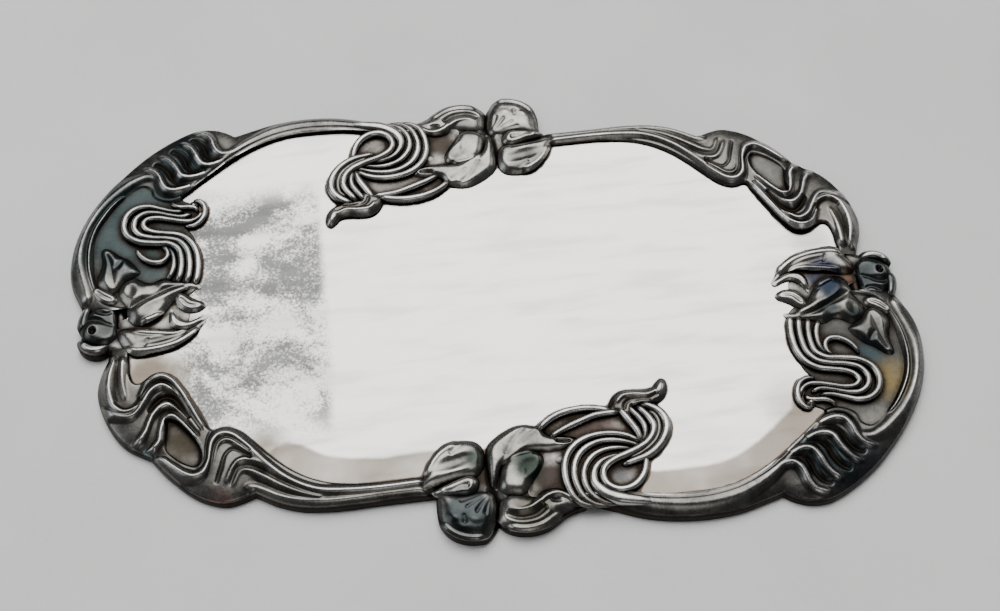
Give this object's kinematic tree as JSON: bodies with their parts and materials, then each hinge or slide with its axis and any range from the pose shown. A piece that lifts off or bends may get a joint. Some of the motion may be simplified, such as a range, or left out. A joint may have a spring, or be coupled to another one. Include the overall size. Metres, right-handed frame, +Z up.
{
  "type": "vanity tray",
  "caption": "Low oblong vanity tray with a flat satin field inside a raised relief border of flowing iris flowers and whiplash tendrils.",
  "frame": {"origin": "centre of the tray at the level of the table that it lies on", "axes": "+X along the tray's long side, +Y towards its back edge, +Z up out of the field"},
  "size_m": [0.2956, 0.1774, 0.008],
  "materials": {
    "field": "satin silver plate with faint grey tarnish clouds",
    "border": "bright silver plate, dark brown tarnish in the hollows",
    "flowers": "bright silver plate, dark brown tarnish in the folds",
    "tendrils": "bright silver plate, dark tarnish between the ribs"
  },
  "bodies": {
    "root": {"tray_plate": "field", "border_front_left": "border", "border_back_right": "border", "border_front_right": "border", "border_back_left": "border", "flower_right": "flowers", "flower_left": "flowers", "flower_front": "flowers", "flower_back": "flowers", "tendril_front": "tendrils", "tendril_back": "tendrils", "tendril_right": "tendrils", "tendril_left": "tendrils"}
  },
  "joints": []
}
